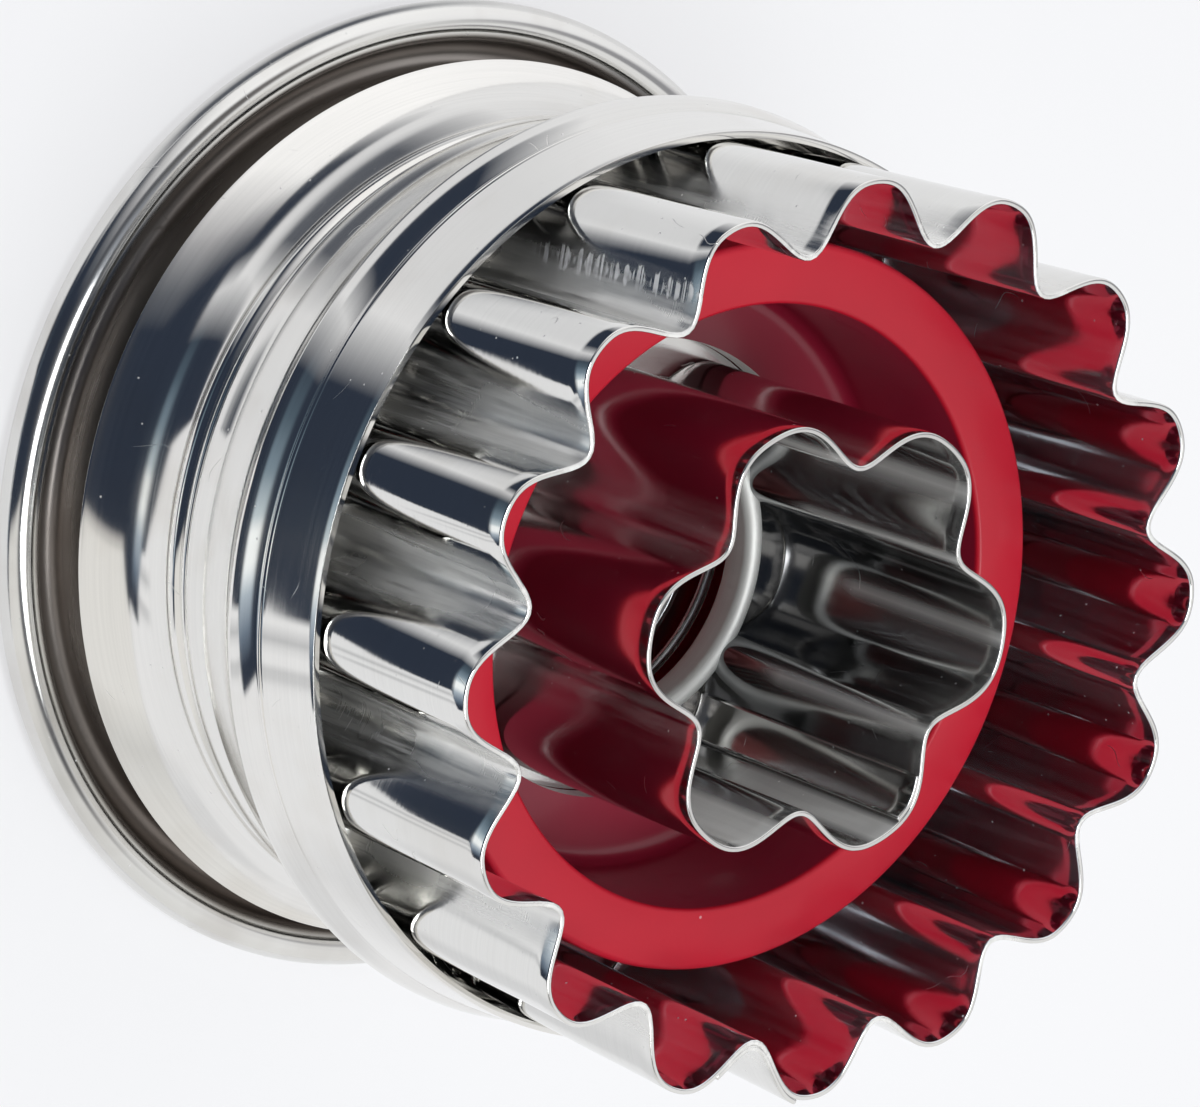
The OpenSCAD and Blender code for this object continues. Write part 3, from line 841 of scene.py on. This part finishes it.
def floor_material():
    """Pale paper; in mirror rays it shows painted reflections round the tool: a dark glowing ground with a
    painted highlight streak on it.
    """
    material, tree = new_material("pale_paper")
    place, xyz = object_place(tree)
    radius = times(tree, radius_of(tree, xyz), 1 / MM)
    bearing = bearing_of(tree, xyz)
    # painted highlight: a bright glowing streak on the floor for mirror rays
    streak = times(tree, span(tree, radius, 53, 60), span(tree, radius, 190, 120))
    reflection_tones = mix_color(tree, streak, (*NAVY, 1), by_bearing(tree, bearing, PAINTED_STREAK_TONES))
    seen, glossy = seen_rays(tree)
    paper = add(tree, 'ShaderNodeBsdfPrincipled', {'Base Color': (0.86, 0.86, 0.87, 1), 'Roughness': 1.0,
                                                   'Specular IOR Level': 0.0})
    glow = add(tree, 'ShaderNodeEmission', {'Color': (0.96, 0.96, 0.975, 1), 'Strength': 1.0})
    pale = add(tree, 'ShaderNodeMixShader', {0: times(tree, seen, 0.6), 1: paper.outputs[0],
                                             2: glow.outputs[0]})
    navy = add(tree, 'ShaderNodeEmission', {'Color': reflection_tones, 'Strength': 1.0})
    # painted reflection: the dark ground glows only in mirror rays
    reflected_dark = times(tree, painted_dark_reflection(tree, xyz, radius, bearing), glossy)
    mixed = add(tree, 'ShaderNodeMixShader', {0: reflected_dark, 1: pale.outputs[0], 2: navy.outputs[0]})
    add(tree, 'ShaderNodeOutputMaterial', {'Surface': mixed.outputs[0]})
    return material


def make_floor():
    bm = bmesh.new()
    bmesh.ops.create_circle(bm, cap_ends=True, segments=64, radius=FLOOR_R)
    bmesh.ops.translate(bm, vec=(0, 0, -FLOOR_DROP), verts=bm.verts)
    floor = finish_mesh(bm, "studio_floor")
    floor.data.materials.append(floor_material())


def make_world():
    """Soft studio: pale walls with a dark opening in front, a darker upper part and a dim ceiling."""
    world = bpy.data.worlds.new("studio_air")
    bpy.context.scene.world = world
    world.use_nodes = True
    tree = world.node_tree
    tree.nodes.clear()
    looking = add(tree, 'ShaderNodeTexCoord').outputs['Generated']
    way = add(tree, 'ShaderNodeSeparateXYZ', {0: looking}).outputs
    bearing = bearing_of(tree, way)
    rise = times(tree, math_node(tree, 'ARCSINE', way[2]), 180 / math.pi)
    left_edge = plus(tree, bearing, span(tree, rise, 30, -30, 115, 160))
    right_edge = minus(tree, bearing, span(tree, rise, 0, 9, -40, -57))
    dark = times(tree, span(tree, left_edge, -14, 12), span(tree, right_edge, 1.2, -1.2),
                 span(tree, rise, 70, 60))
    color = mix_color(tree, dark, by_bearing(tree, bearing, WALL_TONES), (*NAVY, 1))
    color = mix_color(tree, span(tree, rise, 48, 57), color, by_bearing(tree, bearing, UPPER_TONES))
    color = mix_color(tree, span(tree, rise, 66, 78), color, (*CEILING, 1))
    shade = add(tree, 'ShaderNodeBackground', {'Color': color, 'Strength': 1.0})
    add(tree, 'ShaderNodeOutputWorld', {'Surface': shade.outputs[0]})


def place_facing(data, at, aim, roll=0.0):
    """Puts a lamp or camera at a place, turned to its aim."""
    holder = bpy.data.objects.new(data.name, data)
    bpy.context.collection.objects.link(holder)
    holder.location = at
    holder.rotation_mode = 'QUATERNION'
    facing = (Vector(aim) - Vector(at)).to_track_quat('-Z', 'Y')
    holder.rotation_quaternion = facing @ Quaternion((0, 0, 1), math.radians(roll))
    return holder


def make_lamp():
    """One soft lamp above the tool."""
    data = bpy.data.lights.new("soft_above", 'AREA')
    data.shape = 'SQUARE'
    data.size = LAMP_SIZE
    data.energy = LAMP_POWER
    data.color = LAMP_COLOR
    place_facing(data, LAMP_AT, LAMP_AIM)


def make_camera():
    """The photograph's view, turned so that the tool's axis points to the right."""
    data = bpy.data.cameras.new("photo_camera")
    data.lens = LENS_MM
    data.sensor_width = 36
    data.sensor_fit = 'HORIZONTAL'
    data.clip_start = 0.01
    data.clip_end = 20
    bpy.context.scene.camera = place_facing(data, CAMERA_AT, CAMERA_AIM, CAMERA_ROLL)


# The scene

bpy.context.scene.view_settings.view_transform = 'Standard'
make_camera()
make_world()
make_floor()
make_lamp()

polish = polish_group()
housing_steel = steel("polished_housing", (0.81, 0.80, 0.775), (0.62, 0.57, 0.5), haze=0.065, brushing=0.45,
                      specks=0.8, bump=0.0010, along=0.8)
# the rim gets painted shade in its trough
rim_steel = steel("rolled_rim_steel", (0.76, 0.755, 0.735), (0.40, 0.35, 0.31), haze=0.11, brushing=0.3,
                  specks=0.7, bump=0.0008, along=0.6, painted_light=trough_painted_shade)
# the fluted strip gets painted glints on one flank
fluted_steel = steel("bright_strip", (0.77, 0.765, 0.745), (0.6, 0.57, 0.52), haze=0.05, brushing=0.4,
                     specks=0.8, turned=0.0, bump=0.002, folds=(21.8, 1.0), painted_light=painted_glint_strokes)
fluted_inside = steel("bright_strip_inside", (0.70, 0.72, 0.78), (0.5, 0.47, 0.5), haze=0.07, brushing=0.4,
                      specks=1.0, turned=0.0, bump=0.002, folds=(22.5, 0.12))
petal_steel = steel("bright_petals", (0.66, 0.65, 0.635), (0.55, 0.52, 0.47), haze=0.10, brushing=0.3,
                    specks=0.5, turned=0.0, bump=0.0015, folds=(9.6, 0.35))
# the inside's bright and dark lines are painted reflections and painted shade
petal_inside = steel("bright_petals_inside", (0.90, 0.895, 0.87), (0.55, 0.52, 0.47), haze=0.06,
                     brushing=0.3, specks=0.6, turned=0.0, bump=0.0012, folds=(12.6, 0.13),
                     painted_light=painted_reflection_streaks)
bridge_steel = steel("bridge_sheet", (0.72, 0.71, 0.69), (0.45, 0.40, 0.34), haze=0.12, brushing=0.5,
                     specks=0.3)
sleeve_steel = steel("welded_sleeve", (0.93, 0.92, 0.88), (0.50, 0.44, 0.36), haze=0.50, brushing=0.6,
                     specks=0.4, bare=0.45)
spring_steel = steel("spring_wire", (0.55, 0.55, 0.56), (0.3, 0.27, 0.24), haze=0.18, brushing=0.3,
                     specks=0.2, turned=0.0)
# the inner colour is painted shade on the ring's inside walls
ejector_red = red_plastic("satin_red", base=(0.56, 0.006, 0.024), deep=(0.49, 0.005, 0.021), haze=0.38,
                          inner=(0.27, 0.008, 0.030), where=RING_PAINTED_SHADE)
# the inner colour is painted shade inside the pad, darker and greyer than its red
button_red = red_plastic("satin_red_button", base=(0.58, 0.012, 0.028), deep=(0.50, 0.010, 0.024),
                         haze=0.35, inner=(0.36, 0.12, 0.12), where=BUTTON_PAINTED_SHADE)


def dress(pieces, finishes, body, slot, *nodes):
    """Gives pieces their finishes, outside first, and their body; slot is not used; the first stands for
    the nodes.
    """
    for piece in pieces:
        for material in finishes:
            piece.data.materials.append(material)
        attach(piece, body)
    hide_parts(*nodes)
    return pieces[0]


dress([make_barrel()], [housing_steel], "housing", "housing_steel", "barrel")
dress([make_rim()], [rim_steel], "housing", "housing_steel", "finger_rim")
dress(make_outer_cutter(), [fluted_steel, fluted_inside], "housing", "strip_steel", "outer_cutter")
dress(make_inner_cutter(), [petal_steel, petal_inside], "housing", "strip_steel", "inner_cutter")
dress([make_sleeve()], [sleeve_steel], "housing", "bridge_steel", "sleeve")
coil = dress([make_spring()], [spring_steel], "housing", "spring_wire", "return_spring")
dress([make_ejector()], [ejector_red], "ejector", "red_plastic", "ejector_ring")
dress([make_button()], [button_red], "ejector", "red_plastic", "thumb_button")
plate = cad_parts["bridge_plate"]
plate.data.materials.clear()
plate.data.materials.append(bridge_steel)
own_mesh(coil)
